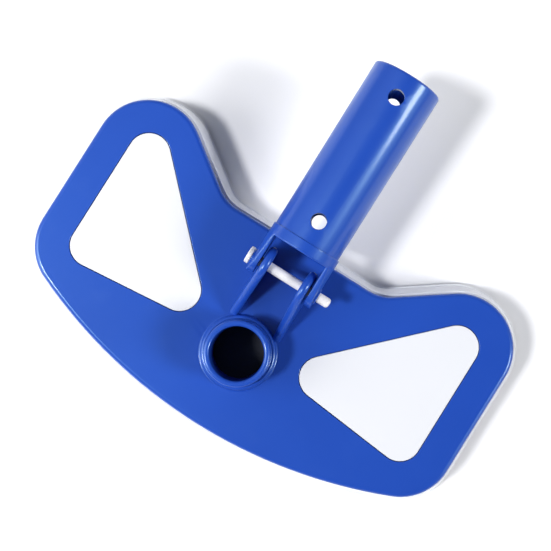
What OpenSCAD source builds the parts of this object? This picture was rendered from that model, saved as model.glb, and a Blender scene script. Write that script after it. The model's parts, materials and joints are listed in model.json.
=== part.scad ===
// Manual pool vacuum head, butterfly shape: a blue top shell with hinge ears over a white flared
// skirt, white wing covers over trim weights in trays, a swivelling hose port, a black base plate with
// brush strips, and a hinged socket for a telescopic pole.
// X is across the wings, +Y points from the hose port towards the pole socket, +Z is up.
// The origin is on the floor, under the middle of the whole part.

/* [Head] */
// Width of the top shell across the wings
shell_w = 280; // [270:1:290]
// Radius of the four wing corners
corner_r = 32; // [28:1:34]
// Distance between the two corner centres of a wing, along Y
wing_straight = 65; // [60:1:68]
// Radius of the long front edge
front_r = 305; // [300:1:340]
// Angle of the sloping rear edge of each wing
waist_slope = 35.5; // [33:0.5:38]
// Radius where the sloping edge meets the straight rear edge
waist_r = 25.6; // [24:0.1:27]
// Height of the flat top of the shell above the floor
shell_top = 34; // [33:0.5:36]
// Thickness of the top plate and of its edge wall
wall = 3; // [3:0.1:3.2]

/* [Wings] */
// Corner radius of the triangular wing windows
window_r = 13; // [12:0.5:14]
// Gap between a wing cover and its window
cover_gap = 0.4; // [0.3:0.1:0.6]

/* [Hose port] */
// Outer diameter of the hose port
port_od = 38; // [37.8:0.1:38.2]
// Bore of the hose port
port_id = 31; // [30:0.5:31.5]
// Height of the port's rim above the shell
port_h = 25; // [22:1:28]

/* [Pole socket] */
// Bore of the socket, for a pole of 31.8 mm
pole_bore = 32.2; // [32.1:0.1:32.6]
// Outer diameter of the socket at its mouth
socket_mouth_od = 41.6; // [41:0.1:42]
// Outer diameter of the socket at its collar
socket_root_od = 41.2; // [40.8:0.1:41.8]
// Diameter of the holes for the pole's spring button
button_hole_d = 9; // [8:0.5:10]
// Distance between the two button holes
button_pitch = 79.5; // [76:0.5:82]

/* [Hinge] */
// Diameter of the hinge pin
pin_d = 5.8; // [5.6:0.1:6.2]
// Radial clearance of the yoke on the pin
pin_play = 0.06; // [0.04:0.01:0.08]
// Angle at which the handle stands above level when the part is at rest
handle_tilt = 4; // [0:0.5:8]

/* [Hidden] */
$fn = 96;

// How far a cutting shape runs past what it cuts, and a joined shape runs into its neighbour
cut = 1;
sink = 0.5;

// Colours
blue = [0.20, 0.37, 0.76];
white = [0.95, 0.95, 0.96];
black = [0.10, 0.10, 0.12];
steel = [0.70, 0.71, 0.73];
iron = [0.35, 0.36, 0.38];

// Outline of the head. All plan positions are measured from the middle of the wing sides.
half_w = shell_w / 2;
corner_x = half_w - corner_r;
top_cy = wing_straight / 2;
low_cy = -wing_straight / 2;
front_cy = low_cy + sqrt(pow(front_r - corner_r, 2) - pow(corner_x, 2));
front_y = front_cy - front_r;
front_half_angle = asin(corner_x / (front_r - corner_r));
slope_n = 90 + waist_slope;
waist_y = top_cy + 0.4;
waist_cy = waist_y + waist_r;
waist_cx = corner_x + (corner_r + waist_r - (waist_cy - top_cy) * sin(slope_n)) / cos(slope_n);

// Heights of the stack, from the floor up
skirt_bottom = 2.5;
skirt_lip_z = 6.5;
skirt_lip = 0.8;
skirt_ledge = 1.6;
skirt_t = 2.4;
skirt_foot_t = 2.8;
skirt_foot_lean = 0.6;
tongue_in = 6;
tongue_h = 2.5;
tongue_gap = 0.3;
brush_z = 6.4;
base_z = 9.4;
base_t = 3;
seat_depth = 1.4;
base_top = base_z + base_t;
ledge_z = shell_top - 8;
plate_z = shell_top - wall;
cover_seat_z = shell_top - 3.4;

// Wing windows: three corner centres, listed anticlockwise on the right wing
inner_corner = [corner_x - 59.2, low_cy + 7];
low_corner = [corner_x - 1.3, low_cy + 1.3];
top_corner = [corner_x - 1.3, top_cy - 0.2];
tray_wall = 2.4;
tray_floor = 1.6;
cover_seat_w = 2.5;
cover_seat_t = 2;
cover_sink = 0.25;
cover_lip_gap = 0.4;
cover_lip_t = 1.4;
cover_lip_h = 1.8;
weight_t = 10;
weight_gap = 0.6;

// Hose port: the spigot turns in the shell's collar, with a seal and a flange under the shell
port_y = low_cy - 5.9;
port_r = port_od / 2;
port_top = shell_top + port_h;
port_play = 0.08;
rim_round = 1.55;
collar_ring_r = 22;
collar_ring_top = shell_top + 5;
collar_ring_z = shell_top - 7.8;
collar_ring_round = 1.7;
journal_r = port_r + 0.8;
journal_top = collar_ring_top + 0.5;
seal_groove_r = 21.2;
seal_groove_z = collar_ring_z + 1.7;
seal_gap = 0.1;
flange_r = 22.6;
flange_t = 2.5;
flange_z = collar_ring_z - 0.5 - flange_t;
seal_z = flange_z + flange_t + seal_gap;
port_foot = 2.4;
retainer_t = 2.3;
retainer_z = flange_z - 0.3 - retainer_t;
retainer_in = 19.5;
retainer_out = 25;
post_ring_r = 28.5;
post_r = 4;
port_screw_r = 1.25;
port_screw_head_r = 2.4;
port_screw_head_t = 1.3;
port_recess = [2.8, 0.7, 0.7];

// Hinge and handle. Lengths along the handle are measured from the pin's axis.
yoke_r = 21.4;
yoke_near = 16.8;
yoke_far = 23.5;
yoke_round = 0.8;
yoke_clear = 1.5;
pin_y = top_cy - 19.5;
pin_z = shell_top + yoke_r + yoke_clear;
pin_r = pin_d / 2;
pin_fit = 0.02;
ear_mid = 13.25;
ear_t = 4.9;
ear_r = 11;
ear_lean = 4;
ear_foot_in = 5;
ear_foot_drop = 1;
arm_in = 16.6;
arm_r = 8;
arm_root = 12;
arm_inset = 0.15;
arm_sink = 2;
arm_boss_r = 5;
arm_boss_t = 0.5;
arm_boss_in = 19;
pin_head_r = 5.1;
pin_head_t = 2.7;
pin_head_gap = 0.1;
pin_head_x = -yoke_r - arm_boss_t - pin_head_gap;
pin_tip = 29.6;
pin_len = pin_tip - pin_head_x;
pin_round = 1.8;
socket_end = 130.3;
mouth_round = 1.5;
mouth_lead = 0.6;
socket_floor = 3.5;
button_far = socket_end - 14.5;
button_near = button_far - button_pitch;

// The whole part is centred on the origin along Y
skirt_out = 6.4;
handle_reach = socket_end * cos(handle_tilt) + (socket_mouth_od / 2 - mouth_round) * sin(handle_tilt);
origin_y = -(front_y - skirt_out + pin_y + handle_reach) / 2;

// Screws through the base plate into bosses under the shell
boss_r = 4;
screw_r = 1.5;
screw_head_r = 3.4;
screw_head_t = 1.9;
base_recess = [3.6, 0.9, 1];
screw_bite = 8;
screw_play = 0.1;
thread_play = 0.05;
plate_over = 0.4;
screw_sites = [[0, low_cy - 35.4], [corner_x - 28, low_cy - 21], [28 - corner_x, low_cy - 21],
    [corner_x - 1, top_cy + 21.5], [1 - corner_x, top_cy + 21.5],
    [waist_cx + 11.5, waist_y - 11.5], [-waist_cx - 11.5, waist_y - 11.5]];

// Suction slots in the base plate, one on each side of the hose port
slot_in = 20;
slot_out = 68;
slot_r = 6.5;
slot_y = low_cy - 22;

// Brush strips, set back from the outline under the base plate
block_w = 8;
bristle_w = 5;
bristle_inset = 2;
seat_gap = 0.1;
brush_in = 10;
front_brush_angle = 18.5;
rear_brush_len = 2 * waist_cx - 8;
slope_brush_start = 4;
slope_brush_len = 29;
side_brush_len = 56;

// Points along an arc of n steps, leaving out the first few
function arc_points(c, r, a0, a1, n, skip = 0) =
    [for (i = [skip:n]) c + r * [cos(a0 + (a1 - a0) * i / n), sin(a0 + (a1 - a0) * i / n)]];

// Right-hand half of the head's outline grown by o, from the middle of the front to the rear edge
function half_outline(o) = concat(
    arc_points([0, front_cy], front_r + o, 270, 270 + front_half_angle, 16),
    arc_points([corner_x, low_cy], corner_r + o, front_half_angle - 90, 0, 13, 1),
    arc_points([corner_x, top_cy], corner_r + o, 0, slope_n, 24),
    arc_points([waist_cx, waist_cy], waist_r - o, 180 + slope_n, 270, 8));

function outline_points(o) =
    let (half = half_outline(o))
    concat(half, [for (i = [len(half) - 1:-1:1]) [-half[i][0], half[i][1]]]);

// Rounded triangle of a wing window, grown by o. Each corner turns from one side's outward
// direction to the next one's.
function wing_points(o) =
    let (c = [inner_corner, low_corner, top_corner],
        facing = [for (i = [0:2]) let (d = c[(i + 1) % 3] - c[i]) atan2(-d[0], d[1])])
    [for (i = [0:2])
        let (start = facing[(i + 2) % 3], turn = (facing[i] - start + 360) % 360)
        each arc_points(c[i], window_r + o, start, start + turn, 16)];

// The point where a line from q touches the circle of radius r round c, on its left-hand side
function touch(c, r, q) =
    let (d = c - q, turn = atan2(d[1], d[0]) + asin(r / norm(d)))
    c + r * [-sin(turn), cos(turn)];

// Moves a child from the outline's own centre to the part's origin
module place() {
    translate([0, origin_y, 0])
        children();
}

// A child and its mirror image on the other wing
module both_sides() {
    children();
    mirror([1, 0, 0])
        children();
}

// A plan shape made solid between two heights
module slab(z0, z1) {
    translate([0, 0, z0])
        linear_extrude(z1 - z0)
            children();
}

// A side view, drawn as Y and Z, made solid between two places along X
module side_slab(x0, x1) {
    translate([x0, 0, 0])
        rotate([90, 0, 90])
            linear_extrude(x1 - x0)
                children();
}

// Section of a round wall with both corners of its far end rounded by e
module wall_section(r0, r1, z0, z1, e) {
    polygon(concat([[r0, z0], [r1, z0]],
        arc_points([r1 - e, z1 - e], e, 0, 90, 6),
        arc_points([r0 + e, z1 - e], e, 90, 180, 6)));
}

// Plan of the head, grown by o
module outline(o) {
    polygon(outline_points(o));
}

// Solid ring that follows the outline. Each section point is [distance outside it, height].
module outline_ring(section) {
    n = len(outline_points(0));
    k = len(section);
    polyhedron(
        points = [for (s = section) for (p = outline_points(s[0])) [p[0], p[1], s[1]]],
        faces = [for (j = [0:k - 1], i = [0:n - 1])
            [j * n + i, (j + 1) % k * n + i, (j + 1) % k * n + (i + 1) % n, j * n + (i + 1) % n]]);
}

// Triangular wing window of the right wing, grown by o
module wing(o) {
    polygon(wing_points(o));
}

// Hinge ear: a plate that is round about the pin and runs down to the port's collar. The two ears
// lean towards each other at the top.
module ear() {
    foot = [port_y + collar_ring_r - ear_foot_in, collar_ring_top - ear_foot_drop - pin_z];
    low = plate_z + sink - pin_z;
    pin = [pin_y, 0];
    top = touch(pin, ear_r, foot) - pin;
    translate([ear_mid, 0, pin_z])
        rotate([0, -ear_lean, 0])
            side_slab(-ear_t / 2, ear_t / 2)
                polygon(concat([foot, [foot[0], low], [pin_y + ear_r, low]],
                    arc_points(pin, ear_r, 0, atan2(top[1], top[0]), 32)));
}

// Everything that hangs under the top plate: window rims, screw bosses and port posts
module shell_inside() {
    both_sides() {
        slab(cover_seat_z - cover_seat_t, plate_z)
            difference() {
                wing(tray_wall);
                wing(0);
            }
        slab(cover_seat_z - cover_seat_t, cover_seat_z)
            difference() {
                wing(sink);
                wing(-cover_seat_w);
            }
    }
    for (p = screw_sites)
        translate([p[0], p[1], base_top])
            cylinder(h = plate_z - base_top + sink, r = boss_r);
    post_sites()
        translate([0, 0, retainer_z + retainer_t])
            cylinder(h = plate_z - retainer_z - retainer_t + sink, r = post_r);
}

// The three places round the hose port where its retaining ring is screwed on
module post_sites() {
    for (a = [90, 210, 330])
        translate([post_ring_r * cos(a), port_y + post_ring_r * sin(a), 0])
            children();
}

module top_shell() {
    color(blue)
        place()
            difference() {
                union() {
                    difference() {
                        slab(ledge_z, shell_top)
                            outline(0);
                        slab(ledge_z - cut, plate_z)
                            outline(-wall);
                    }
                    shell_inside();
                    translate([0, port_y, 0])
                        rotate_extrude()
                            wall_section(port_r - 1, collar_ring_r, collar_ring_z, collar_ring_top,
                                collar_ring_round);
                    both_sides()
                        ear();
                }
                both_sides()
                    slab(cover_seat_z, shell_top + cut)
                        wing(0);
                translate([0, port_y, 0]) {
                    cylinder(h = port_top, r = journal_r + port_play);
                    translate([0, 0, collar_ring_z - cut])
                        cylinder(h = seal_groove_z - collar_ring_z + cut, r = seal_groove_r);
                }
                for (p = screw_sites)
                    translate([p[0], p[1], base_top - cut])
                        cylinder(h = screw_bite + 2 * cut, r = screw_r + thread_play);
                post_sites()
                    translate([0, 0, retainer_z])
                        cylinder(h = screw_bite, r = port_screw_r + thread_play);
                translate([-collar_ring_r, pin_y, pin_z])
                    rotate([0, 90, 0])
                        cylinder(h = 2 * collar_ring_r, r = pin_r + pin_fit);
            }
}

module base_skirt() {
    color(white)
        place()
            outline_ring([[skirt_ledge, ledge_z], [skirt_out - skirt_lip, skirt_lip_z],
                [skirt_out, skirt_lip_z], [skirt_out, skirt_bottom],
                [skirt_out - skirt_foot_t, skirt_bottom],
                [skirt_out - skirt_foot_t - skirt_foot_lean, skirt_lip_z],
                [skirt_ledge - skirt_t, ledge_z - skirt_t],
                [-tongue_in, ledge_z - skirt_t], [-tongue_in, ledge_z + tongue_h],
                [-wall - tongue_gap, ledge_z + tongue_h], [-wall - tongue_gap, ledge_z]]);
}

module base_plate() {
    color(black)
        place()
            difference() {
                slab(base_z, base_top)
                    outline(plate_over);
                both_sides()
                    slab(base_z - cut, base_top + cut)
                        suction_slot();
                for (p = screw_sites)
                    translate([p[0], p[1], base_z]) {
                        translate([0, 0, -cut])
                            cylinder(h = base_t + 2 * cut, r = screw_r + screw_play);
                        cylinder(h = screw_head_t, r1 = screw_head_r + screw_play,
                            r2 = screw_r + screw_play);
                    }
                slab(base_z - cut, base_z + seat_depth) {
                    front_strip(block_w + 2 * seat_gap, seat_gap);
                    rear_strip(block_w + 2 * seat_gap, seat_gap);
                    both_sides() {
                        slope_strip(block_w + 2 * seat_gap, seat_gap);
                        side_strip(block_w + 2 * seat_gap, seat_gap);
                    }
                }
            }
}

// Round-ended slot on the right-hand side
module suction_slot() {
    translate([slot_in + slot_r, slot_y - slot_r])
        square([slot_out - slot_in - 2 * slot_r, 2 * slot_r]);
    for (x = [slot_in + slot_r, slot_out - slot_r])
        translate([x, slot_y])
            circle(slot_r);
}

module base_screws() {
    color(steel)
        place()
            for (p = screw_sites)
                translate([p[0], p[1], base_z])
                    difference() {
                        union() {
                            cylinder(h = screw_head_t, r1 = screw_head_r, r2 = screw_r);
                            cylinder(h = base_t + screw_bite, r = screw_r);
                        }
                        cross_recess(base_recess);
                    }
}

// Cross-shaped driver recess in a screw head that faces down, given as [length, width, depth]
module cross_recess(size) {
    for (a = [0, 90])
        rotate([0, 0, a])
            translate([-size[0] / 2, -size[1] / 2, -cut])
                cube([size[0], size[1], size[2] + cut]);
}

module wing_cover() {
    color(white)
        place() {
            slab(cover_seat_z, shell_top - cover_sink)
                wing(-cover_gap);
            slab(cover_seat_z - cover_lip_h, cover_seat_z)
                difference() {
                    wing(-cover_seat_w - cover_lip_gap);
                    wing(-cover_seat_w - cover_lip_gap - cover_lip_t);
                }
        }
}

module wing_cover_left() {
    mirror([1, 0, 0])
        wing_cover();
}

module wing_cover_right() {
    wing_cover();
}

// Tray that carries a trim weight, held between the base plate and the rim of the wing window
module wing_tray() {
    color(white)
        place() {
            slab(base_top, base_top + tray_floor)
                wing(tray_wall);
            slab(base_top, cover_seat_z - cover_seat_t)
                difference() {
                    wing(tray_wall);
                    wing(0);
                }
        }
}

module wing_tray_left() {
    mirror([1, 0, 0])
        wing_tray();
}

module wing_tray_right() {
    wing_tray();
}

module wing_weight() {
    color(iron)
        place()
            slab(base_top + tray_floor, base_top + tray_floor + weight_t)
                wing(-weight_gap);
}

module wing_weight_left() {
    mirror([1, 0, 0])
        wing_weight();
}

module wing_weight_right() {
    wing_weight();
}

module hose_port() {
    bore_r = port_id / 2;
    color(blue)
        place()
            translate([0, port_y, 0])
                rotate_extrude()
                    polygon(concat([[bore_r, flange_z - port_foot], [port_r, flange_z - port_foot],
                        [port_r, flange_z], [flange_r, flange_z], [flange_r, flange_z + flange_t],
                        [journal_r, flange_z + flange_t], [journal_r, journal_top], [port_r, journal_top]],
                        arc_points([port_r - rim_round, port_top - rim_round], rim_round, 0, 90, 6),
                        arc_points([bore_r + rim_round, port_top - rim_round], rim_round, 90, 180, 6)));
}

module port_seal() {
    color(black)
        place()
            translate([0, port_y, seal_z])
                difference() {
                    cylinder(h = seal_groove_z - seal_gap - seal_z, r = seal_groove_r - seal_gap);
                    translate([0, 0, -cut])
                        cylinder(h = seal_groove_z, r = journal_r + port_play);
                }
}

module port_retainer() {
    color(white)
        place()
            difference() {
                slab(retainer_z, retainer_z + retainer_t) {
                    difference() {
                        union() {
                            translate([0, port_y])
                                circle(retainer_out);
                            post_sites()
                                circle(post_r);
                        }
                        translate([0, port_y])
                            circle(retainer_in);
                    }
                }
                post_sites()
                    translate([0, 0, retainer_z - cut])
                        cylinder(h = retainer_t + 2 * cut, r = port_screw_r + screw_play);
            }
}

module port_screws() {
    color(steel)
        place()
            post_sites()
                difference() {
                    translate([0, 0, retainer_z - port_screw_head_t]) {
                        cylinder(h = port_screw_head_t, r = port_screw_head_r);
                        cylinder(h = screw_bite, r = port_screw_r);
                    }
                    translate([0, 0, retainer_z - port_screw_head_t])
                        cross_recess(port_recess);
                }
}

module hinge_pin() {
    color(white)
        place()
            translate([pin_head_x, pin_y, pin_z])
                rotate([0, 90, 0])
                    rotate_extrude()
                        polygon(concat([[0, -pin_head_t], [pin_head_r, -pin_head_t], [pin_head_r, 0],
                            [pin_r, 0]],
                            arc_points([pin_r - pin_round, pin_len - pin_round], pin_round, 0, 90, 6),
                            [[0, pin_len]]));
}

// Moves a child from the handle's own axes to the hinge: Z along the handle becomes Y, tilted up
module on_hinge() {
    place()
        translate([0, pin_y, pin_z])
            rotate([handle_tilt - 90, 0, 0])
                children();
}

module handle_yoke() {
    color(blue)
        difference() {
            union() {
                on_hinge()
                    rotate_extrude()
                        polygon(concat([[0, yoke_near]],
                            arc_points([yoke_r - yoke_round, yoke_near + yoke_round], yoke_round, -90, 0, 4),
                            arc_points([yoke_r - yoke_round, yoke_far - yoke_round], yoke_round, 0, 90, 4),
                            [[0, yoke_far]]));
                both_sides()
                    yoke_arm();
            }
            place()
                translate([-2 * yoke_r, pin_y, pin_z])
                    rotate([0, 90, 0])
                        cylinder(h = 4 * yoke_r, r = pin_r + pin_play);
        }
}

// Arm of the yoke on the right-hand side, with a low boss round the pin. Its outer face follows
// the roundness of the collar.
module yoke_arm() {
    root = yoke_near + arm_sink;
    side = touch([0, 0], arm_r, [-root, -arm_root]);
    turn = atan2(side[1], side[0]);
    intersection() {
        place()
            translate([0, pin_y, pin_z])
                rotate([handle_tilt, 0, 0])
                    side_slab(arm_in, yoke_r)
                        polygon(concat([[root, -arm_root], [root, arm_root]],
                            arc_points([0, 0], arm_r, 180 - turn, 180 + turn, 24)));
        on_hinge()
            translate([0, 0, -arm_r - cut])
                cylinder(h = root + arm_r + 2 * cut, r = yoke_r - arm_inset);
    }
    place()
        translate([arm_boss_in, pin_y, pin_z])
            rotate([0, 90, 0])
                cylinder(h = yoke_r + arm_boss_t - arm_boss_in, r = arm_boss_r);
}

module pole_socket() {
    bore_r = pole_bore / 2;
    mouth_r = socket_mouth_od / 2;
    root_r = socket_root_od / 2;
    color(blue)
        on_hinge()
            difference() {
                rotate_extrude()
                    polygon(concat([[0, yoke_far + socket_floor], [0, yoke_far], [root_r, yoke_far]],
                        arc_points([mouth_r - mouth_round, socket_end - mouth_round], mouth_round, 0, 90, 6),
                        [[bore_r + mouth_lead, socket_end], [bore_r, socket_end - mouth_lead],
                        [bore_r, yoke_far + socket_floor]]));
                for (z = [button_near, button_far])
                    translate([0, mouth_r + cut, z])
                        rotate([90, 0, 0])
                            cylinder(h = 2 * (mouth_r + cut), r = button_hole_d / 2);
            }
}

// Plan of each brush strip for a strip of width w that is longer by g at each end
module front_strip(w, g) {
    reach = front_brush_angle + g / (front_r - brush_in) * 180 / PI;
    translate([0, front_cy])
        intersection() {
            difference() {
                circle(front_r - brush_in + w / 2, $fn = 720);
                circle(front_r - brush_in - w / 2, $fn = 720);
            }
            polygon([[0, 0], [-2 * front_r * sin(reach), -2 * front_r * cos(reach)],
                [2 * front_r * sin(reach), -2 * front_r * cos(reach)]]);
        }
}

module rear_strip(w, g) {
    translate([-rear_brush_len / 2 - g, waist_y - brush_in - w / 2])
        square([rear_brush_len + 2 * g, w]);
}

module slope_strip(w, g) {
    slope_low = [waist_cx, waist_cy] - (waist_r + brush_in) * [cos(slope_n), sin(slope_n)];
    translate(slope_low)
        rotate(slope_n - 90)
            translate([slope_brush_start - g, -w / 2])
                square([slope_brush_len + 2 * g, w]);
}

module side_strip(w, g) {
    translate([half_w - brush_in - w / 2, -side_brush_len / 2 - g])
        square([w, side_brush_len + 2 * g]);
}

module brush_block() {
    color(white)
        place()
            slab(brush_z, base_z + seat_depth)
                children();
}

module brush_bristles() {
    color(white)
        place()
            slab(0, brush_z)
                children();
}

module front_brush_block() {
    brush_block()
        front_strip(block_w, 0);
}

module front_brush_bristles() {
    brush_bristles()
        front_strip(bristle_w, -bristle_inset);
}

module rear_brush_block() {
    brush_block()
        rear_strip(block_w, 0);
}

module rear_brush_bristles() {
    brush_bristles()
        rear_strip(bristle_w, -bristle_inset);
}

module slope_brush_block_right() {
    brush_block()
        slope_strip(block_w, 0);
}

module slope_brush_bristles_right() {
    brush_bristles()
        slope_strip(bristle_w, -bristle_inset);
}

module side_brush_block_right() {
    brush_block()
        side_strip(block_w, 0);
}

module side_brush_bristles_right() {
    brush_bristles()
        side_strip(bristle_w, -bristle_inset);
}

module slope_brush_block_left() {
    mirror([1, 0, 0])
        slope_brush_block_right();
}

module slope_brush_bristles_left() {
    mirror([1, 0, 0])
        slope_brush_bristles_right();
}

module side_brush_block_left() {
    mirror([1, 0, 0])
        side_brush_block_right();
}

module side_brush_bristles_left() {
    mirror([1, 0, 0])
        side_brush_bristles_right();
}

top_shell();
base_skirt();
base_plate();
base_screws();
wing_cover_left();
wing_cover_right();
wing_tray_left();
wing_tray_right();
wing_weight_left();
wing_weight_right();
hose_port();
port_seal();
port_retainer();
port_screws();
hinge_pin();
handle_yoke();
pole_socket();
front_brush_block();
front_brush_bristles();
rear_brush_block();
rear_brush_bristles();
slope_brush_block_left();
slope_brush_bristles_left();
slope_brush_block_right();
slope_brush_bristles_right();
side_brush_block_left();
side_brush_bristles_left();
side_brush_block_right();
side_brush_bristles_right();
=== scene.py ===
"""Looks of the manual pool vacuum head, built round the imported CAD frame."""

import json
import math
import random

import bmesh
import bpy
from mathutils import Matrix, Vector

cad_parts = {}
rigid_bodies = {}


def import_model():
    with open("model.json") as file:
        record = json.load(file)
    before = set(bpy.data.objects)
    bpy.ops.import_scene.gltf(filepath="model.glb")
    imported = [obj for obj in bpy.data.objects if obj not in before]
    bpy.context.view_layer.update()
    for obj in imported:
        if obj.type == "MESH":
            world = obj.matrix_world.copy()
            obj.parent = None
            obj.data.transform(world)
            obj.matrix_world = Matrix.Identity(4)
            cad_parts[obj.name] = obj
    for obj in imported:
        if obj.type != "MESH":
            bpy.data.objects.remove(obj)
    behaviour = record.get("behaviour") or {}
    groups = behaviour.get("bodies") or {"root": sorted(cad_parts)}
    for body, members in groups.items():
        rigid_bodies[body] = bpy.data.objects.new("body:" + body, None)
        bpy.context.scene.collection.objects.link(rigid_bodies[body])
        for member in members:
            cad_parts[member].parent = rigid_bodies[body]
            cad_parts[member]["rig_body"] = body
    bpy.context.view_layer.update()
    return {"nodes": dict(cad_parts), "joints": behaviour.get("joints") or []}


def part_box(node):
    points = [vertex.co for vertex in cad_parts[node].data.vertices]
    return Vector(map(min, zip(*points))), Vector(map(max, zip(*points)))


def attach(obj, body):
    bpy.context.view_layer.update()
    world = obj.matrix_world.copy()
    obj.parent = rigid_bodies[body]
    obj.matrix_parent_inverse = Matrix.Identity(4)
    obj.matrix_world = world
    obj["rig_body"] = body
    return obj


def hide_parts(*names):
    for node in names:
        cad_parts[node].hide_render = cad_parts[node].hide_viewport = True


MM = 0.001
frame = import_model()
random.seed(7)


def new_object(name, data):
    """An object that holds the data, linked into the scene."""
    thing = bpy.data.objects.new(name, data)
    bpy.context.scene.collection.objects.link(thing)
    return thing


# ---------------------------------------------------------------- camera
# The camera looks almost straight down on the head, turned about the vertical so that the pole
# socket points up and to the right.
CAMERA_PLACE = Vector((12.7, -33.114, 707.7)) * MM
CAMERA_RIGHT = Vector((0.84710, 0.53138, -0.00803))
CAMERA_UP = Vector((-0.53075, 0.84667, 0.03806))
LENS = 75.14
SENSOR = 36.0


def make_camera():
    """The camera, which looks along the line square to CAMERA_RIGHT and CAMERA_UP."""
    data = bpy.data.cameras.new("camera")
    data.lens = LENS
    data.sensor_width = SENSOR
    camera = new_object("camera", data)
    right = CAMERA_RIGHT.normalized()
    back = right.cross(CAMERA_UP).normalized()
    turn = Matrix((right, back.cross(right), back)).transposed()
    camera.matrix_world = Matrix.Translation(CAMERA_PLACE) @ turn.to_4x4()
    bpy.context.scene.camera = camera


# ---------------------------------------------------------------- node trees
class Nodes:
    """A short way to write the node tree of a material or of the world."""

    def __init__(self, owner, shader="Principled BSDF", place="Object"):
        owner.use_nodes = True
        self.owner = owner
        self.tree = owner.node_tree
        self.shader = self.tree.nodes[shader]
        self.place = self.add("ShaderNodeTexCoord").outputs[place]

    def add(self, kind, inputs=None, **settings):
        """A new node with the settings given, then with its inputs set or linked."""
        node = self.tree.nodes.new(kind)
        for key, value in settings.items():
            setattr(node, key, value)
        for key, value in (inputs or {}).items():
            self.put(node.inputs[key], value)
        return node

    def put(self, socket, value):
        """Links another node's output to the socket, or sets the socket to a value."""
        if isinstance(value, bpy.types.NodeSocket):
            self.tree.links.new(value, socket)
        else:
            socket.default_value = value

    def noise(self, scale, detail, roughness=0.5):
        """A soft random pattern, finer with a larger scale."""
        node = self.add("ShaderNodeTexNoise", {"Vector": self.place, "Scale": scale,
                                               "Detail": detail, "Roughness": roughness})
        return node.outputs["Fac"]

    def ramp(self, value, low, high, to_low, to_high):
        """Stretches low to high onto to_low to to_high and holds the ends beyond them."""
        node = self.add("ShaderNodeMapRange", {"Value": value, "From Min": low, "From Max": high,
                                               "To Min": to_low, "To Max": to_high})
        return node.outputs["Result"]

    def blend(self, factor, one, two):
        """A colour between two others."""
        node = self.add("ShaderNodeMix", {"Factor": factor, "A": one, "B": two}, data_type="RGBA")
        return node.outputs["Result"]

    def maths(self, operation, one, two):
        """The result of an operation on two values."""
        node = self.add("ShaderNodeMath", {0: one, 1: two}, operation=operation)
        return node.outputs["Value"]

    def bump(self, height, distance, strength, under=None):
        """A surface raised by a height pattern, over another bump where one is given."""
        inputs = {"Height": height, "Distance": distance, "Strength": strength}
        if under is not None:
            inputs["Normal"] = under
        return self.add("ShaderNodeBump", inputs).outputs["Normal"]

    def finish(self, **sockets):
        """Sets the shader's sockets, named with _ for a space, and gives back the owner."""
        for key, value in sockets.items():
            self.put(self.shader.inputs[key.replace("_", " ")], value)
        return self.owner


def rgb(r, g, b):
    """An opaque colour."""
    return (r, g, b, 1.0)


# ---------------------------------------------------------------- materials
# SCUFFS and GRAIN_ROUGHNESS are how much rubbing adds to a plastic's roughness, and how far its
# grain moves it either way.
SCUFFS = 0.05
GRAIN_ROUGHNESS = 0.025
COAT_ROUGHNESS = 0.12
BRISTLE_LENGTH = 6.4 * MM
NYLON_DEPTH = 0.4 * MM


def moulded_plastic(name, colour, deep, roughness, grain=0.012, sheen=rgb(1, 1, 1), gloss=0.0):
    """Injection-moulded plastic: slow flow shading in the colour, fine mould grain, faint scuffs."""
    n = Nodes(bpy.data.materials.new(name))
    flow = n.noise(scale=9.0, detail=3.0, roughness=0.55)
    speck = n.noise(scale=900.0, detail=2.0, roughness=0.6)
    wear = n.noise(scale=55.0, detail=4.0, roughness=0.65)
    swell = n.noise(scale=28.0, detail=1.0, roughness=0.4)
    tint = n.blend(n.ramp(flow, 0.35, 0.65, 0.0, 1.0), colour, deep)
    grained = n.ramp(speck, 0.3, 0.7, roughness - GRAIN_ROUGHNESS, roughness + GRAIN_ROUGHNESS)
    rough = n.maths("ADD", grained, n.ramp(wear, 0.55, 0.75, 0.0, SCUFFS))
    waves = n.bump(swell, distance=0.25 * MM, strength=0.12)
    return n.finish(Base_Color=tint, Roughness=rough, IOR=1.49, Specular_Tint=sheen,
                    Coat_Weight=gloss, Coat_Roughness=COAT_ROUGHNESS, Coat_Tint=sheen,
                    Normal=n.bump(speck, distance=grain * MM, strength=0.35, under=waves))


def brushed_metal(name, colour, roughness):
    """Stainless steel with turning marks and a little tarnish."""
    n = Nodes(bpy.data.materials.new(name))
    cloud = n.noise(scale=260.0, detail=3.0, roughness=0.6)
    lines = n.add("ShaderNodeTexWave", {"Vector": n.place, "Scale": 900.0, "Distortion": 3.0},
                  wave_type="RINGS", rings_direction="Z").outputs["Fac"]
    tint = n.blend(n.ramp(cloud, 0.4, 0.7, 0.0, 0.5), colour, rgb(0.34, 0.33, 0.31))
    rough = n.ramp(cloud, 0.3, 0.7, roughness - 0.06, roughness + 0.08)
    return n.finish(Base_Color=tint, Metallic=1.0, Roughness=rough,
                    Normal=n.bump(lines, distance=0.01 * MM, strength=0.3))


def cast_iron(name):
    """Sand-cast iron under a thin dark coat, rusty in places."""
    n = Nodes(bpy.data.materials.new(name))
    lumps = n.noise(scale=420.0, detail=4.0, roughness=0.7)
    rust = n.ramp(n.noise(scale=60.0, detail=3.0), 0.4, 0.7, 0.0, 1.0)
    tint = n.blend(rust, rgb(0.10, 0.10, 0.105), rgb(0.16, 0.13, 0.11))
    return n.finish(Base_Color=tint, Metallic=0.3, Roughness=0.72,
                    Normal=n.bump(lumps, distance=0.15 * MM, strength=0.8))


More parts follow.
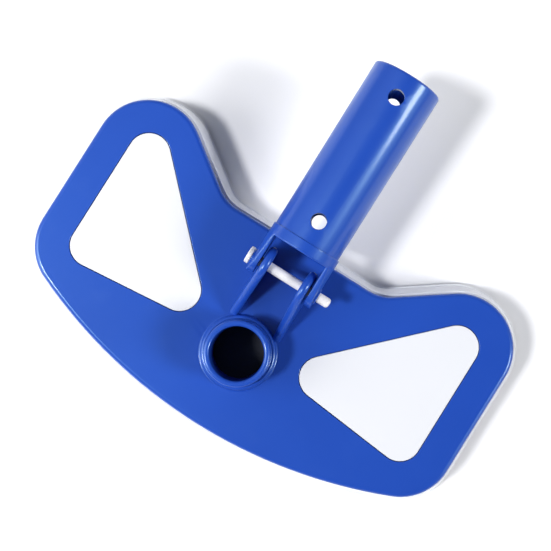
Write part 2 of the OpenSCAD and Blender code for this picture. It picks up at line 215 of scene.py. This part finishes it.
def rubber(name):
    """Dull black rubber with a grey bloom."""
    n = Nodes(bpy.data.materials.new(name))
    cloud = n.noise(scale=180.0, detail=3.0, roughness=0.6)
    bloom = n.ramp(cloud, 0.45, 0.75, 0.0, 1.0)
    tint = n.blend(bloom, rgb(0.018, 0.018, 0.020), rgb(0.05, 0.05, 0.052))
    return n.finish(Base_Color=tint, Roughness=0.78,
                    Normal=n.bump(cloud, distance=0.02 * MM, strength=0.5))


def nylon_tuft(name):
    """Filaments that are slightly yellower and duller towards their tips."""
    n = Nodes(bpy.data.materials.new(name))
    height = n.add("ShaderNodeSeparateXYZ", {"Vector": n.place}).outputs["Z"]
    down = n.ramp(height, 0.0, BRISTLE_LENGTH, 1.0, 0.0)
    each = n.ramp(n.noise(scale=1400.0, detail=1.0), 0.3, 0.7, 0.0, 1.0)
    pale = n.blend(each, rgb(0.70, 0.71, 0.74), rgb(0.55, 0.57, 0.62))
    tint = n.blend(n.maths("MULTIPLY", down, 0.5), pale, rgb(0.62, 0.60, 0.52))
    return n.finish(Base_Color=tint, Roughness=0.42, Subsurface_Weight=0.15,
                    Subsurface_Radius=(NYLON_DEPTH, NYLON_DEPTH, NYLON_DEPTH))


BLUE = moulded_plastic("blue_plastic", rgb(0.0150, 0.065, 0.410), rgb(0.0128, 0.057, 0.375),
                       roughness=0.32, sheen=rgb(0.60, 0.93, 1.0), gloss=0.35)
WHITE = moulded_plastic("white_plastic", rgb(0.72, 0.73, 0.77), rgb(0.70, 0.71, 0.75),
                        roughness=0.34)
# The skirt's white is brighter than the covers', raised to lighten the skirt where the shell and the
# tube shade it: painted light.
SKIRT_WHITE_PAINTED_LIGHT = moulded_plastic("skirt_plastic_painted_light", rgb(0.86, 0.87, 0.90), rgb(0.83, 0.84, 0.88),
                              roughness=0.40)
PIN_WHITE = moulded_plastic("white_acetal", rgb(0.78, 0.77, 0.78), rgb(0.74, 0.73, 0.75),
                            roughness=0.28)
BLACK = moulded_plastic("black_plastic", rgb(0.035, 0.038, 0.055), rgb(0.028, 0.031, 0.046),
                        roughness=0.62, grain=0.03, sheen=rgb(0.4, 0.4, 0.4))
STEEL = brushed_metal("stainless_steel", rgb(0.58, 0.58, 0.57), roughness=0.30)
IRON = cast_iron("coated_iron")
RUBBER = rubber("seal_rubber")
NYLON = nylon_tuft("nylon_tufts")


# ---------------------------------------------------------------- pieces
# Faces within FLAT_ANGLE are one flat face, edges over SHARP count as edges, and corners within
# WELD are one corner.
FLAT_ANGLE = math.radians(0.4)
SHARP = math.radians(30)
WELD = 0.002 * MM
FACE_WEIGHT = 100


def body_of(node):
    """The body that a CAD node belongs to."""
    return frame["nodes"][node]["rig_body"]


def cad_copy(node):
    """The CAD node's mesh as a bmesh with its flat faces joined up again."""
    bm = bmesh.new()
    bm.from_mesh(frame["nodes"][node].data)
    bmesh.ops.remove_doubles(bm, verts=bm.verts, dist=WELD)
    bmesh.ops.dissolve_limit(bm, angle_limit=FLAT_ANGLE, verts=bm.verts, edges=bm.edges)
    return bm


def round_edges(bm, pick, radius, steps):
    """Rounds the sharp outward edges that pick(middle, edge) chooses."""
    chosen = [e for e in bm.edges if e.is_manifold and e.calc_face_angle_signed(0.0) > SHARP
              and pick((e.verts[0].co + e.verts[1].co) / 2, e)]
    bmesh.ops.bevel(bm, geom=chosen, offset=radius, offset_type="OFFSET", segments=steps,
                    profile=0.5, affect="EDGES", clamp_overlap=False)


def make_piece(name, bm, material, body, stands_for, sharp=40.0):
    """Turns a bmesh into a piece with smooth shading that keeps its flat faces flat. Edges over the
    sharp angle, in degrees, stay sharp."""
    bmesh.ops.recalc_face_normals(bm, faces=bm.faces)
    mesh = bpy.data.meshes.new(name)
    bm.to_mesh(mesh)
    bm.free()
    for p in mesh.polygons:
        p.use_smooth = True
    mesh.set_sharp_from_angle(angle=math.radians(sharp))
    mesh.materials.append(material)
    piece = new_object(name, mesh)
    weighted = piece.modifiers.new("flat_faces", "WEIGHTED_NORMAL")
    weighted.keep_sharp = True
    weighted.weight = FACE_WEIGHT
    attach(piece, body)
    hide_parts(*stands_for)


def finished(node, name, material, pick, radius, steps):
    """A copy of a CAD node with some edges rounded, standing for the node."""
    bm = cad_copy(node)
    round_edges(bm, pick, radius, steps)
    make_piece(name, bm, material, body_of(node), [node])


def painted(node, material):
    """A CAD node that keeps its own shape and gets a better material."""
    mesh = frame["nodes"][node].data
    mesh.materials.clear()
    mesh.materials.append(material)
    for p in mesh.polygons:
        p.use_smooth = True
    mesh.set_sharp_from_angle(angle=SHARP)


# ---------------------------------------------------------------- outlines and solids
def bridge(bm, one, two):
    """A band of faces between two closed loops with as many corners."""
    n = len(one)
    for i in range(n):
        bm.faces.new((one[i], one[(i + 1) % n], two[(i + 1) % n], two[i]))


def loop_edges(bm, loop):
    """The edges round a closed loop of corners, made where they are missing."""
    pairs = zip(loop, loop[1:] + loop[:1])
    return [bm.edges.get(pair) or bm.edges.new(pair) for pair in pairs]


def fill(bm, outer, hole):
    """Closes the space inside the outer loop, leaving the hole open."""
    edges = loop_edges(bm, outer) + loop_edges(bm, hole)
    bmesh.ops.triangle_fill(bm, use_beauty=True, use_dissolve=False, edges=edges)


def arc(centre, r, start, end, steps):
    """Points along an arc in a plane, angles in degrees."""
    angles = [math.radians(start + (end - start) * i / steps) for i in range(steps + 1)]
    return [Vector((centre[0] + r * math.cos(a), centre[1] + r * math.sin(a))) for a in angles]


def rounding(radius, steps):
    """Steps round an edge: how far each lies in from the side and in from the face."""
    turns = [math.pi / 2 * i / steps for i in range(steps + 1)]
    return [(radius * (1 - math.sin(t)), radius * (1 - math.cos(t))) for t in turns]


def inset(loop, by):
    """An anticlockwise outline moved inwards by a distance."""
    out = []
    for i, p in enumerate(loop):
        a = (p - loop[i - 1]).normalized()
        b = (loop[(i + 1) % len(loop)] - p).normalized()
        na, nb = Vector((-a.y, a.x)), Vector((-b.y, b.x))
        out.append(p + (na + nb) * by / (1 + na.dot(nb)))
    return out


def lathe(bm, profile, to_space, steps=96, ring=True):
    """Turns a profile of (radius, height) points round its axis. A ring's profile closes on itself.
    Otherwise the circles at its two ends are filled."""
    turns = [2 * math.pi * i / steps for i in range(steps)]
    loops = [[bm.verts.new(to_space(r * math.cos(t), r * math.sin(t), h)) for t in turns]
             for r, h in profile]
    for one, two in zip(loops, loops[1:]):
        bridge(bm, one, two)
    if ring:
        bridge(bm, loops[-1], loops[0])
    else:
        bm.faces.new(loops[0])
        bm.faces.new(loops[-1])


def holed_plate(bm, outline, half, radius, hole, to_space):
    """A plate with rounded edges and a round hole, reaching as far as half says to each side of its
    middle. The hole is given as its centre, its radius and the width of its bevel."""
    rounds = rounding(radius, 5)
    rows = [(by, up - half) for by, up in rounds] + [(by, half - up) for by, up in reversed(rounds)]
    loops = [[bm.verts.new(to_space(p.x, p.y, level)) for p in inset(outline, by)]
             for by, level in rows]
    centre, r, bevel = hole
    rims = [[bm.verts.new(to_space(p.x, p.y, level)) for p in arc(centre, r + wide, 0, 360, 40)[:-1]]
            for wide, level in ((bevel, -half), (0, bevel - half), (0, half - bevel), (bevel, half))]
    for one, two in list(zip(loops, loops[1:])) + list(zip(rims, rims[1:])):
        bridge(bm, one, two)
    fill(bm, loops[0], rims[0])
    fill(bm, loops[-1], rims[-1])


# ---------------------------------------------------------------- places on the head
# Heights are above the floor, and radii are from the axis of what they belong to.
JOINTS = {j["name"]: j for j in frame["joints"]}
PIN = Vector(JOINTS["handle_hinge"]["pos_m"])
PORT = Vector(JOINTS["port_swivel"]["pos_m"])
SHELL_TOP = 34.0 * MM
COLLAR_TOP = 39.0 * MM
COLLAR_R = 22.0 * MM
PORT_HOLE_R = 19.88 * MM
SAME_LEVEL = 0.06 * MM


def level_edge(edge, z):
    """Whether both ends of an edge are at a height."""
    return all(abs(v.co.z - z) < SAME_LEVEL for v in edge.verts)


def round_port(x, y, z):
    """A point measured from the hose port's axis."""
    return Vector((PORT.x + x, PORT.y + y, z))


# ---------------------------------------------------------------- top shell
# The CAD shell is kept up to CUT_ABOVE over its flat top. The ears and the collar above that are
# made again with rounded edges, each sunk a little way into the shell. EAR_MID is how far out the
# middle of an ear is at the pin, and EAR_FOOT is how far behind the port's axis the ear's slope
# comes down to the collar.
RIM_ROUND = 2.9 * MM
RIM_REACH = 7.0 * MM
WINDOW_ROUND = 0.35 * MM
WINDOWS_FROM = 30.0 * MM
CUT_ABOVE = 0.02 * MM
CUT_REACH = 0.0001 * MM
EAR_MID = 13.25 * MM
EAR_HALF = 2.45 * MM
EAR_LEAN = math.radians(4)
EAR_R = 11.0 * MM
EAR_ROUND = 2.2 * MM
EAR_FOOT = 17.0 * MM
EAR_FOOT_DROP = 1.0 * MM
EAR_SUNK = 2.0 * MM
PIN_HOLE_R = 3.1 * MM
PIN_HOLE_BEVEL = 0.3 * MM
COLLAR_SUNK = 1.0 * MM
COLLAR_FOOT_R = 1.3 * MM
COLLAR_LIP_R = 1.7 * MM
COLLAR_BEVEL = 0.3 * MM


def shell_rim(middle, edge):
    """The outer top edge: its side face reaches down past the rounding."""
    lowest = [min(v.co.z for v in f.verts) for f in edge.link_faces]
    return level_edge(edge, SHELL_TOP) and min(lowest) < SHELL_TOP - RIM_REACH


def window_edge(middle, edge):
    """The top edges of the wing windows, which are well out from the middle."""
    return level_edge(edge, SHELL_TOP) and abs(middle.x) > WINDOWS_FROM


def cut_level(bm, z):
    """Takes away everything above a height and closes the cut."""
    cut = bmesh.ops.bisect_plane(bm, geom=bm.verts[:] + bm.edges[:] + bm.faces[:], dist=CUT_REACH,
                                 plane_co=(0, 0, z), plane_no=(0, 0, 1), clear_outer=True)
    edges = [g for g in cut["geom_cut"] if isinstance(g, bmesh.types.BMEdge)]
    bmesh.ops.triangle_fill(bm, use_beauty=True, use_dissolve=False, edges=edges)


def ear_outline():
    """Side view of an ear in Y and Z: round about the pin, sloping down to the collar."""
    foot = Vector((PORT.y + EAR_FOOT, COLLAR_TOP - EAR_FOOT_DROP))
    low = SHELL_TOP - EAR_SUNK
    centre = Vector((PIN.y, PIN.z))
    to_pin = centre - foot
    lean = math.atan2(to_pin.y, to_pin.x) + math.asin(EAR_R / to_pin.length)
    round_top = arc(centre, EAR_R, 0, math.degrees(lean) + 90, 30)
    return [Vector((foot.x, low)), Vector((PIN.y + EAR_R, low))] + round_top + [foot]


def make_ear(bm, side):
    """An ear, which leans outwards towards its foot."""
    def leaning(y, z, out):
        up = z - PIN.z
        x = EAR_MID + out * math.cos(EAR_LEAN) - up * math.sin(EAR_LEAN)
        return Vector((side * x, y, PIN.z + out * math.sin(EAR_LEAN) + up * math.cos(EAR_LEAN)))

    hole = ((PIN.y, PIN.z), PIN_HOLE_R, PIN_HOLE_BEVEL)
    holed_plate(bm, ear_outline(), EAR_HALF, EAR_ROUND, hole, leaning)


def make_collar(bm):
    """The ring that the hose port stands in, with a hollow fillet where it meets the shell."""
    spread = COLLAR_R + COLLAR_FOOT_R
    low = SHELL_TOP - COLLAR_SUNK
    profile = [(PORT_HOLE_R, low), (spread, low)]
    profile += arc((spread, SHELL_TOP + COLLAR_FOOT_R), COLLAR_FOOT_R, 270, 180, 12)
    profile += arc((COLLAR_R - COLLAR_LIP_R, COLLAR_TOP - COLLAR_LIP_R), COLLAR_LIP_R, 0, 90, 8)
    profile += arc((PORT_HOLE_R + COLLAR_BEVEL, COLLAR_TOP - COLLAR_BEVEL), COLLAR_BEVEL, 90, 180, 3)
    lathe(bm, profile, round_port)


def make_shell():
    """The CAD shell up to its flat top, with the ears and the collar made again on it."""
    bm = cad_copy("top_shell")
    cut_level(bm, SHELL_TOP + CUT_ABOVE)
    round_edges(bm, shell_rim, RIM_ROUND, 6)
    round_edges(bm, window_edge, WINDOW_ROUND, 2)
    for side in (-1, 1):
        make_ear(bm, side)
    make_collar(bm)
    make_piece("shell", bm, BLUE, "head", ["top_shell"])


# ---------------------------------------------------------------- handle
# YOKE_NEAR and YOKE_FAR are the two ends of the collar, as distances from the pin along the handle.
# The arms start ARM_IN from the middle, and their outside lies ARM_UNDER below the collar's.
# HOLES_FROM and HOLES_TO enclose the socket's spring-button holes, again from the pin.
HANDLE_TILT = math.radians(4)
YOKE_R = 21.4 * MM
YOKE_NEAR = 16.8 * MM
YOKE_FAR = 23.5 * MM
YOKE_ROUND = 0.9 * MM
YOKE_CORE_R = 1.0 * MM
YOKE_HOLE_R = 2.96 * MM
ARM_IN = 16.6 * MM
ARM_R = 8.0 * MM
ARM_ROOT = 12.0 * MM
ARM_SUNK = 2.0 * MM
ARM_ROUND = 0.6 * MM
ARM_UNDER = 0.04 * MM
ARM_FACE_STEPS = 7
BOSS_IN = 19.0 * MM
BOSS_R = 5.0 * MM
BOSS_T = 0.5 * MM
BOSS_ROUND = 0.4 * MM
HOLE_ROUND = 0.35 * MM
HOLES_HALF_W = 5.0 * MM
HOLES_FROM = 25.0 * MM
HOLES_TO = 125.0 * MM
SOCKET_MIDWALL_R = 18.5 * MM


def arm_outline():
    """Side view of a yoke arm, measured from the pin, in steps of about a millimetre."""
    root = YOKE_NEAR + ARM_SUNK
    corner = Vector((root, ARM_ROOT))
    lean = math.atan2(corner.y, corner.x) - math.asin(ARM_R / corner.length)
    turn = 90 + math.degrees(lean)
    corners = [Vector((root, -ARM_ROOT)), corner] + arc((0, 0), ARM_R, turn, 360 - turn, 30)
    out = []
    for p, q in zip(corners, corners[1:] + corners[:1]):
        steps = max(1, round((q - p).length / MM))
        out += [p.lerp(q, k / steps) for k in range(steps)]
    return out


def make_arm(bm, side):
    """One arm: flat inside, and outside as round as the collar that it grows out of."""
    def on_collar(p):
        return math.sqrt((YOKE_R - ARM_UNDER) ** 2 - p.y ** 2)

    outline = arm_outline()
    hub = [p.normalized() * YOKE_HOLE_R for p in outline]
    edge = inset(outline, ARM_ROUND)
    rounds = rounding(ARM_ROUND, 5)
    rows = [(hub, lambda p: ARM_IN)]
    rows += [(inset(outline, by), lambda p, up=up: ARM_IN + up) for by, up in rounds]
    rows += [(inset(outline, by), lambda p, up=up: on_collar(p) - up) for by, up in reversed(rounds)]
    for k in range(1, ARM_FACE_STEPS + 1):
        rows.append(([p.lerp(q, k / ARM_FACE_STEPS) for p, q in zip(edge, hub)], on_collar))
    loops = [[bm.verts.new((side * level(p), PIN.y + p.x, PIN.z + p.y)) for p in points]
             for points, level in rows]
    for one, two in zip(loops, loops[1:] + loops[:1]):
        bridge(bm, one, two)


def make_boss(bm, side):
    """The flat round boss outside the pin hole of an arm."""
    face = YOKE_R + BOSS_T
    profile = [(YOKE_HOLE_R, BOSS_IN), (BOSS_R, BOSS_IN)]
    profile += arc((BOSS_R - BOSS_ROUND, face - BOSS_ROUND), BOSS_ROUND, 0, 90, 4)
    profile += [(YOKE_HOLE_R, face)]
    lathe(bm, profile, lambda y, z, x: Vector((side * x, PIN.y + y, PIN.z + z)), steps=48)


def make_yoke():
    """The collar under the pole socket with its two arms, built level and then tilted."""
    bm = bmesh.new()
    soft = YOKE_ROUND / 2
    profile = [(YOKE_CORE_R, YOKE_NEAR)]
    profile += arc((YOKE_R - YOKE_ROUND, YOKE_NEAR + YOKE_ROUND), YOKE_ROUND, -90, 0, 5)
    profile += arc((YOKE_R - soft, YOKE_FAR - soft), soft, 0, 90, 3)
    profile += [(YOKE_CORE_R, YOKE_FAR)]
    lathe(bm, profile, lambda x, z, y: Vector((x, PIN.y + y, PIN.z + z)), ring=False)
    for side in (-1, 1):
        make_arm(bm, side)
        make_boss(bm, side)
    bmesh.ops.rotate(bm, cent=PIN, matrix=Matrix.Rotation(HANDLE_TILT, 3, "X"), verts=bm.verts)
    make_piece("yoke", bm, BLUE, "handle", ["handle_yoke"])


def button_hole_rim(middle, edge):
    """Rims of the spring-button holes on the outside of the socket, which is levelled first."""
    q = Matrix.Rotation(-HANDLE_TILT, 3, "X") @ (middle - PIN)
    outside = math.hypot(q.x, q.z) > SOCKET_MIDWALL_R
    return outside and abs(q.x) < HOLES_HALF_W and HOLES_FROM < q.y < HOLES_TO


def make_socket():
    """The CAD pole socket with its button holes rounded outside."""
    finished("pole_socket", "socket", BLUE, button_hole_rim, HOLE_ROUND, 2)


# ---------------------------------------------------------------- hose port
# From the bottom up: a tube inside the head, the flange that keeps the port in, the journal that
# turns in the collar and the spigot for the hose.
BORE_R = 15.5 * MM
SPIGOT_R = 19.0 * MM
SPIGOT_RIM = 1.55 * MM
JOURNAL_R = 19.8 * MM
JOURNAL_TOP = 39.5 * MM
FLANGE_R = 22.6 * MM
FLANGE_Z = 23.2 * MM
FLANGE_T = 2.5 * MM
PORT_BEVEL = 0.3 * MM
PORT_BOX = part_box("hose_port")


def make_port():
    """The spigot, with a rounded rim, on its journal and flange."""
    foot, top = PORT_BOX[0].z, PORT_BOX[1].z
    flange_top = FLANGE_Z + FLANGE_T
    step = JOURNAL_R - SPIGOT_R
    profile = [(BORE_R, foot), (SPIGOT_R - PORT_BEVEL, foot), (SPIGOT_R, foot + PORT_BEVEL)]
    profile += [(SPIGOT_R, FLANGE_Z), (FLANGE_R - PORT_BEVEL, FLANGE_Z)]
    profile += [(FLANGE_R, FLANGE_Z + PORT_BEVEL), (FLANGE_R, flange_top - PORT_BEVEL)]
    profile += [(FLANGE_R - PORT_BEVEL, flange_top), (JOURNAL_R, flange_top)]
    profile += [(JOURNAL_R, JOURNAL_TOP - PORT_BEVEL)]
    profile += arc((JOURNAL_R, JOURNAL_TOP + step), step, 270, 180, 6)
    profile += arc((SPIGOT_R - SPIGOT_RIM, top - SPIGOT_RIM), SPIGOT_RIM, 0, 90, 9)
    profile += arc((BORE_R + SPIGOT_RIM, top - SPIGOT_RIM), SPIGOT_RIM, 90, 180, 9)
    bm = bmesh.new()
    lathe(bm, profile, round_port, steps=128)
    make_piece("port", bm, BLUE, "port", ["hose_port"], sharp=50.0)


# ---------------------------------------------------------------- the other pieces
COVER_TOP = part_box("wing_cover_left")[1].z
COVER_ROUND = 0.3 * MM
TRAY_ROUND = 0.2 * MM
WEIGHT_ROUND = 0.6 * MM
SKIRT_ROUND = 0.25 * MM
HOLDER_ROUND = 0.4 * MM
PIN_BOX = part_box("hinge_pin")
PIN_HEAD_R = (PIN_BOX[1].z - PIN_BOX[0].z) / 2
PIN_HEAD_ROUND = 0.6 * MM
PIN_HEAD_NEAR = 0.2 * MM
HOLDERS = ("front_brush_block", "rear_brush_block", "slope_brush_block_left",
           "slope_brush_block_right", "side_brush_block_left", "side_brush_block_right")


def every_edge(middle, edge):
    return True


def cover_edge(middle, edge):
    """The edge round the top of a wing cover."""
    return level_edge(edge, COVER_TOP)


def pin_head_edge(middle, edge):
    """The edges at the full width of the pin's head."""
    return abs(math.hypot(middle.y - PIN.y, middle.z - PIN.z) - PIN_HEAD_R) < PIN_HEAD_NEAR


def make_wing_pieces(side):
    """The cover, tray and weight of one wing."""
    finished("wing_cover_" + side, "cover_" + side, WHITE,
             cover_edge, COVER_ROUND, 3)
    finished("wing_tray_" + side, "tray_" + side, WHITE,
             every_edge, TRAY_ROUND, 2)
    finished("wing_weight_" + side, "weight_" + side, IRON,
             every_edge, WEIGHT_ROUND, 3)


def make_other_pieces():
    """Everything else but the bristles. The last five keep their CAD shape."""
    for side in ("left", "right"):
        make_wing_pieces(side)
    finished("hinge_pin", "pin", PIN_WHITE, pin_head_edge, PIN_HEAD_ROUND, 3)
    finished("base_skirt", "skirt", SKIRT_WHITE_PAINTED_LIGHT, every_edge, SKIRT_ROUND, 2)
    for block in HOLDERS:
        finished(block, block.replace("_block", "_holder"), WHITE,
                 every_edge, HOLDER_ROUND, 2)
    painted("base_plate", BLACK)
    painted("port_seal", RUBBER)
    painted("port_retainer", WHITE)
    painted("base_screws", STEEL)
    painted("port_screws", STEEL)


# ---------------------------------------------------------------- brush tufts
# Two rows of tufts lie TUFT_ROW to either side of a strip's middle line. A tuft's filaments start
# TUFT_SUNK inside the holder and end up to TIP_STRAY off their place and TIP_LIFT over the floor.
TUFT_PITCH = 3.4 * MM
TUFT_R = 0.95 * MM
TUFT_ROW = 1.25 * MM
TUFT_SUNK = 0.2 * MM
TUFT_END_GAP = 0.3 * MM
TUFT_FILAMENTS = 18
FILAMENT_R = 0.13 * MM
FILAMENT_TAPER = 0.85
GOLDEN_ANGLE = math.pi * (3 - math.sqrt(5))
ROOT_SPREAD = 0.75
TIP_SPREAD = 1.15
TIP_STRAY = 0.12 * MM
TIP_LIFT = 0.3 * MM
TANGENT_STEP = 0.01
STRIP_W = 5.0 * MM
STRIP_FOOT = 0.5 * MM
FRONT_BRUSH_R = 295.0 * MM
STRAIGHT_STRIPS = ("rear_brush_bristles", "slope_brush_bristles_left", "slope_brush_bristles_right",
                   "side_brush_bristles_left", "side_brush_bristles_right")


def straight_row(node):
    """Middle line and length of a straight strip, from the four corners of its underside."""
    bm = cad_copy(node)
    corners = [v.co.xy for v in bm.verts if v.co.z < STRIP_FOOT]
    bm.free()
    middle = sum(corners, Vector((0, 0))) / len(corners)
    corners.sort(key=lambda c: math.atan2(c.y - middle.y, c.x - middle.x))
    sides = list(zip(corners, corners[1:] + corners[:1]))
    ends = sorted(sides, key=lambda s: (s[1] - s[0]).length)[:2]
    start, end = [(p + q) / 2 for p, q in ends]
    return lambda t: start.lerp(end, t), (end - start).length


def curved_row(node):
    """Middle line and length of the front strip, an arc about a centre behind the head."""
    lo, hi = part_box(node)
    outer = FRONT_BRUSH_R + STRIP_W / 2
    centre = lo.y + outer
    reach = math.asin(hi.x / outer)

    def line(t):
        turn = reach * (2 * t - 1)
        return Vector((FRONT_BRUSH_R * math.sin(turn), centre - FRONT_BRUSH_R * math.cos(turn)))

    return line, 2 * reach * FRONT_BRUSH_R


def make_filament(bm, root, tip):
    """A three-sided filament that narrows to its closed tip."""
    start = random.uniform(0, math.tau)
    rings = []
    for place, r in ((root, FILAMENT_R), (tip, FILAMENT_R * FILAMENT_TAPER)):
        turns = [start + math.tau / 3 * i for i in range(3)]
        rings.append([bm.verts.new(place + Vector((r * math.cos(t), r * math.sin(t), 0)))
                      for t in turns])
    bridge(bm, rings[0], rings[1])
    bm.faces.new(rings[1])


def make_tuft(bm, middle, top, start):
    """Filaments spread evenly over a disc, wider at their tips than at their roots."""
    for i in range(TUFT_FILAMENTS):
        r = TUFT_R * math.sqrt((i + 0.5) / TUFT_FILAMENTS)
        turn = i * GOLDEN_ANGLE + start
        off = Vector((r * math.cos(turn), r * math.sin(turn)))
        stray = Vector([random.uniform(-TIP_STRAY, TIP_STRAY) for axis in "xy"])
        root = middle + off * ROOT_SPREAD
        tip = middle + off * TIP_SPREAD + stray
        lift = 0.0 if i == 0 else random.uniform(0.0, TIP_LIFT)
        make_filament(bm, Vector((*root, top + TUFT_SUNK)), Vector((*tip, lift)))


def make_strip(node, row):
    """Tufts in two staggered rows along a strip, which splay a little towards the floor."""
    line, length = row(node)
    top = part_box(node)[1].z
    margin = (TUFT_R + TUFT_END_GAP) / length
    count = int((1 - 2 * margin) * length / TUFT_PITCH)
    bm = bmesh.new()
    for k in range(2 * count + 1):
        t = margin + (1 - 2 * margin) * k / (2 * count)
        along = (line(min(1, t + TANGENT_STEP)) - line(max(0, t - TANGENT_STEP))).normalized()
        across = Vector((-along.y, along.x))
        make_tuft(bm, line(t) + across * TUFT_ROW * (1 if k % 2 else -1), top, k)
    make_piece(node.replace("bristles", "tufts"), bm, NYLON, body_of(node), [node])


def make_brushes():
    """The tufts of all six strips."""
    make_strip("front_brush_bristles", curved_row)
    for node in STRAIGHT_STRIPS:
        make_strip(node, straight_row)


# ---------------------------------------------------------------- light and floor
# WALLS, CEILING, HORIZON and GLOW are strengths of the world's light. The walls fade into the
# ceiling over CEILING_BAND, and the horizon's light fades out over HORIZON_BAND, both as the sine
# of the angle above the horizon. GLOW_FROM is where the glow is, and GLOW_FOCUS narrows it.
STUDIO_AIR = rgb(0.90, 0.95, 1.0)
WALLS = 0.16
CEILING = 0.04
CEILING_BAND = (0.45, 0.95)
HORIZON = 0.85
HORIZON_BAND = (0.03, 0.10)
GLOW = 0.58
GLOW_FOCUS = 6.0
GLOW_FROM = (-0.70, 0.05, 0.71)
FLOOR_HALF = 40.0
FLOOR_DROP = 0.2 * MM


def make_world():
    """A studio with a bright horizon under a dark ceiling, and a broad glow from the left."""
    n = Nodes(bpy.data.worlds.new("studio"), "Background", "Generated")
    height = n.add("ShaderNodeSeparateXYZ", {"Vector": n.place}).outputs["Z"]
    facing = n.add("ShaderNodeVectorMath", {0: n.place, 1: GLOW_FROM}, operation="DOT_PRODUCT")
    lobe = n.maths("POWER", n.maths("MAXIMUM", facing.outputs["Value"], 0.0), GLOW_FOCUS)
    walls = n.ramp(height, *CEILING_BAND, WALLS, CEILING)
    horizon = n.ramp(height, *HORIZON_BAND, HORIZON, 0.0)
    strength = n.maths("ADD", n.maths("ADD", walls, horizon), n.maths("MULTIPLY", lobe, GLOW))
    bpy.context.scene.world = n.finish(Color=STUDIO_AIR, Strength=strength)


def add_light(name, kind, come_from, strength):
    """A light at a place, in metres, that shines towards the origin."""
    data = bpy.data.lights.new(name, kind)
    data.energy = strength
    light = new_object(name, data)
    light.location = come_from
    light.rotation_mode = "QUATERNION"
    light.rotation_quaternion = (-Vector(come_from)).to_track_quat("-Z", "Y")
    return light


def far_light(name, come_from, width, strength):
    """A light so far off that it falls evenly on the floor. Its width is an angle in radians."""
    add_light(name, "SUN", come_from, strength).data.angle = width


def near_light(name, come_from, size, strength):
    """A square soft box aimed at the origin, which fades with distance."""
    light = add_light(name, "AREA", come_from, strength)
    light.data.size = size
    light.visible_camera = False


def make_lights():
    """A small key light in front on the left, a soft fill light behind on the right, and a low soft
    box on the left."""
    far_light("key", come_from=(-0.42, -0.42, 1.0), width=0.15, strength=1.95)
    far_light("fill", come_from=(1.33, 0.36, 1.0), width=0.31, strength=2.2)
    near_light("side", come_from=(-0.62, -0.46, 0.46), size=0.50, strength=4.4)


def make_floor():
    """A matt floor that reaches far past what the camera sees, just under the head."""
    bm = bmesh.new()
    bmesh.ops.create_grid(bm, x_segments=2, y_segments=2, size=FLOOR_HALF)
    mesh = bpy.data.meshes.new("floor")
    bm.to_mesh(mesh)
    bm.free()
    n = Nodes(bpy.data.materials.new("floor"))
    mesh.materials.append(n.finish(Base_Color=rgb(0.88, 0.88, 0.90), Roughness=0.8))
    floor = new_object("floor", mesh)
    floor.location.z = -FLOOR_DROP


# ---------------------------------------------------------------- the whole scene
make_shell()
make_yoke()
make_socket()
make_port()
make_other_pieces()
make_brushes()
make_camera()
make_world()
make_lights()
make_floor()
bpy.context.scene.view_settings.view_transform = "Standard"
